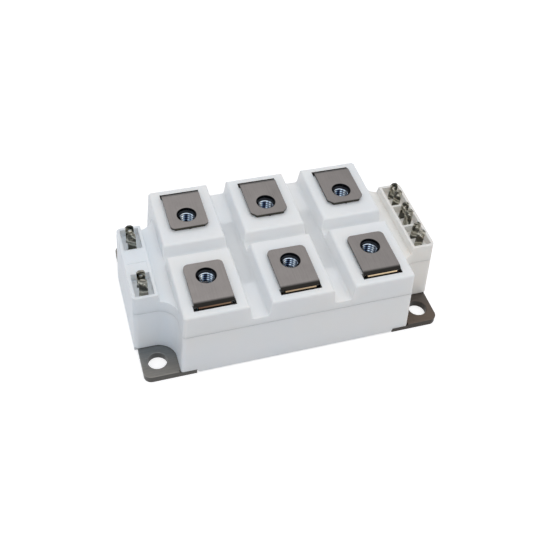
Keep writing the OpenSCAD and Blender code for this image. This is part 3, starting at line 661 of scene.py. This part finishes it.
allNuts = bmesh.new()
for place in screwPlaces:
    centre = Vector((place.x, place.y, 0))
    single = nutBody(centre, nutLow.z, nutHigh.z, nutValues)
    threadTurns(single, centre, nutLow.z, nutHigh.z, nutValues)
    bmesh.ops.recalc_face_normals(single, faces=single.faces)
    holder = bpy.data.meshes.new("nutHolder")
    single.to_mesh(holder)
    single.free()
    allNuts.from_mesh(holder)
    bpy.data.meshes.remove(holder)
for face in allNuts.faces:
    face.smooth = True
captiveNuts = addPiece("captiveNuts", allNuts, "nut")
steadyShading(captiveNuts, nutValues["smooth"], nutValues["weight"])
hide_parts("terminal_nuts")
print("threaded nuts made")


# Floor, light and camera

def backdropRays(tree):
    # 1 for the rays that show the backdrop: straight, mirrored or through glass
    camera, glossy, transmission = tree.node("ShaderNodeLightPath", {}, {}, (
        "Is Camera Ray", "Is Glossy Ray", "Is Transmission Ray"))
    return camera.maths("MAXIMUM", camera.maths("MAXIMUM", camera, glossy), transmission)


floorValues = {"half": 6.0, "colour": (0.62, 0.62, 0.63), "drop": 0.05 * mm,
               "lift": 0.68, "farLift": 1.0, "liftFrom": 150 * mm, "liftTo": 550 * mm}


def floorPaint(values):
    # plain for the light it throws on the object, lifted for the camera and for reflections:
    # near the object the shadow shows, and far away the floor is as white as the background
    material = bpy.data.materials.new("paleFloor")
    material.use_nodes = True
    material.node_tree.nodes.clear()
    tree = Tree(material.node_tree)
    reach = tree.node("ShaderNodeVectorMath", {"operation": "LENGTH"},
                      {0: tree.objectPlace()}, "Value")
    lift = tree.node("ShaderNodeMapRange", {}, {
        "Value": reach, "From Min": values["liftFrom"], "From Max": values["liftTo"],
        "To Min": values["lift"], "To Max": values["farLift"]}, "Result")
    diffuse = tree.node("ShaderNodeBsdfDiffuse", {}, {"Color": rgb(*values["colour"])})
    glow = tree.node("ShaderNodeEmission", {}, {
        "Color": rgb(1, 1, 1), "Strength": backdropRays(tree) * lift})
    both = tree.node("ShaderNodeAddShader", {}, {0: diffuse, 1: glow})
    tree.node("ShaderNodeOutputMaterial", {}, {"Surface": both}, None)
    return material


def addFloor(values):
    bm = bmesh.new()
    bmesh.ops.create_grid(bm, x_segments=1, y_segments=1, size=values["half"])
    bmesh.ops.translate(bm, verts=bm.verts, vec=(0, 0, -values["drop"]))
    mesh = bpy.data.meshes.new("paleFloor")
    bm.to_mesh(mesh)
    bm.free()
    mesh.materials.append(floorPaint(values))
    floor = bpy.data.objects.new("paleFloor", mesh)
    bpy.context.scene.collection.objects.link(floor)


addFloor(floorValues)

lamps = {
    "overhead": {"place": (0.0, 0.18, 0.75), "aim": (0, 0, 0.02), "size": 1.1, "power": 1.75,
                 "colour": (1.0, 0.99, 0.98)},
    "left": {"place": (-0.80, -0.25, 0.42), "aim": (0, 0, 0.02), "size": 0.6, "power": 0.5,
             "colour": (0.60, 0.80, 1.0)},
    "front": {"place": (0.15, -0.48, 0.75), "aim": (0, 0, 0.015), "size": 0.9, "power": 1.5,
              "colour": (1.0, 0.99, 0.98)},
    "right": {"place": (0.80, -0.60, 0.30), "aim": (0, 0, 0.015), "size": 0.5, "power": 0.35,
              "colour": (1.0, 0.88, 0.74)},
}


def addLamp(name, values):
    light = bpy.data.lights.new(name, "AREA")
    light.shape = "SQUARE"
    light.size = values["size"]
    light.energy = values["power"]
    light.color = values["colour"]
    lamp = bpy.data.objects.new(name, light)
    lamp.location = values["place"]
    aim = Vector(values["aim"]) - lamp.location
    lamp.rotation_euler = aim.to_track_quat("-Z", "Y").to_euler()
    bpy.context.scene.collection.objects.link(lamp)


for lampName, lampValues in lamps.items():
    addLamp(lampName, lampValues)

worldValues = {"light": 0.54, "shown": 1.0, "colour": (0.96, 0.975, 1.0)}


def addWorld(values):
    world = bpy.data.worlds.new("softStudio")
    world.use_nodes = True
    world.node_tree.nodes.clear()
    tree = Tree(world.node_tree)
    plain = tree.node("ShaderNodeBackground", {}, {
        "Color": rgb(*values["colour"]), "Strength": values["light"]})
    shown = tree.node("ShaderNodeBackground", {}, {
        "Color": rgb(1, 1, 1), "Strength": values["shown"]})
    mixed = tree.node("ShaderNodeMixShader", {}, {0: backdropRays(tree), 1: plain, 2: shown})
    tree.node("ShaderNodeOutputWorld", {}, {"Surface": mixed}, None)
    bpy.context.scene.world = world


addWorld(worldValues)
bpy.context.scene.view_settings.view_transform = "Standard"

# Angles in degrees, the sensor in millimetres and other lengths in metres. Right and up shift
# the view in its own plane, and the focal length is counted in pixels of the photo.
cameraValues = {
    "azimuth": -21.224, "elevation": 48.335, "roll": 5.771, "distance": 0.28229,
    "right": 0.000305, "up": -0.003539, "target": (0.0, 0.0, 0.012),
    "focalPixels": 782.83, "photoPixels": 550, "sensor": 36.0, "near": 0.01, "far": 50.0,
}


def addCamera(values):
    azimuth, elevation, roll = [math.radians(values[name])
                                for name in ("azimuth", "elevation", "roll")]
    back = Vector((math.sin(azimuth) * math.cos(elevation),
                   -math.cos(azimuth) * math.cos(elevation), math.sin(elevation)))
    level = (-back).cross(Vector((0, 0, 1))).normalized()
    rise = level.cross(-back)
    right = level * math.cos(roll) + rise * math.sin(roll)
    up = rise * math.cos(roll) - level * math.sin(roll)
    data = bpy.data.cameras.new("photoView")
    data.sensor_width = values["sensor"]
    data.lens = values["focalPixels"] / values["photoPixels"] * values["sensor"]
    data.clip_start = values["near"]
    data.clip_end = values["far"]
    camera = bpy.data.objects.new("photoView", data)
    place = (Vector(values["target"]) + right * values["right"] + up * values["up"]
             + back * values["distance"])
    turn = Matrix((right, up, back)).transposed().to_4x4()
    camera.matrix_world = Matrix.Translation(place) @ turn
    bpy.context.scene.collection.objects.link(camera)
    bpy.context.scene.camera = camera


addCamera(cameraValues)
print("stage, lights and camera made")
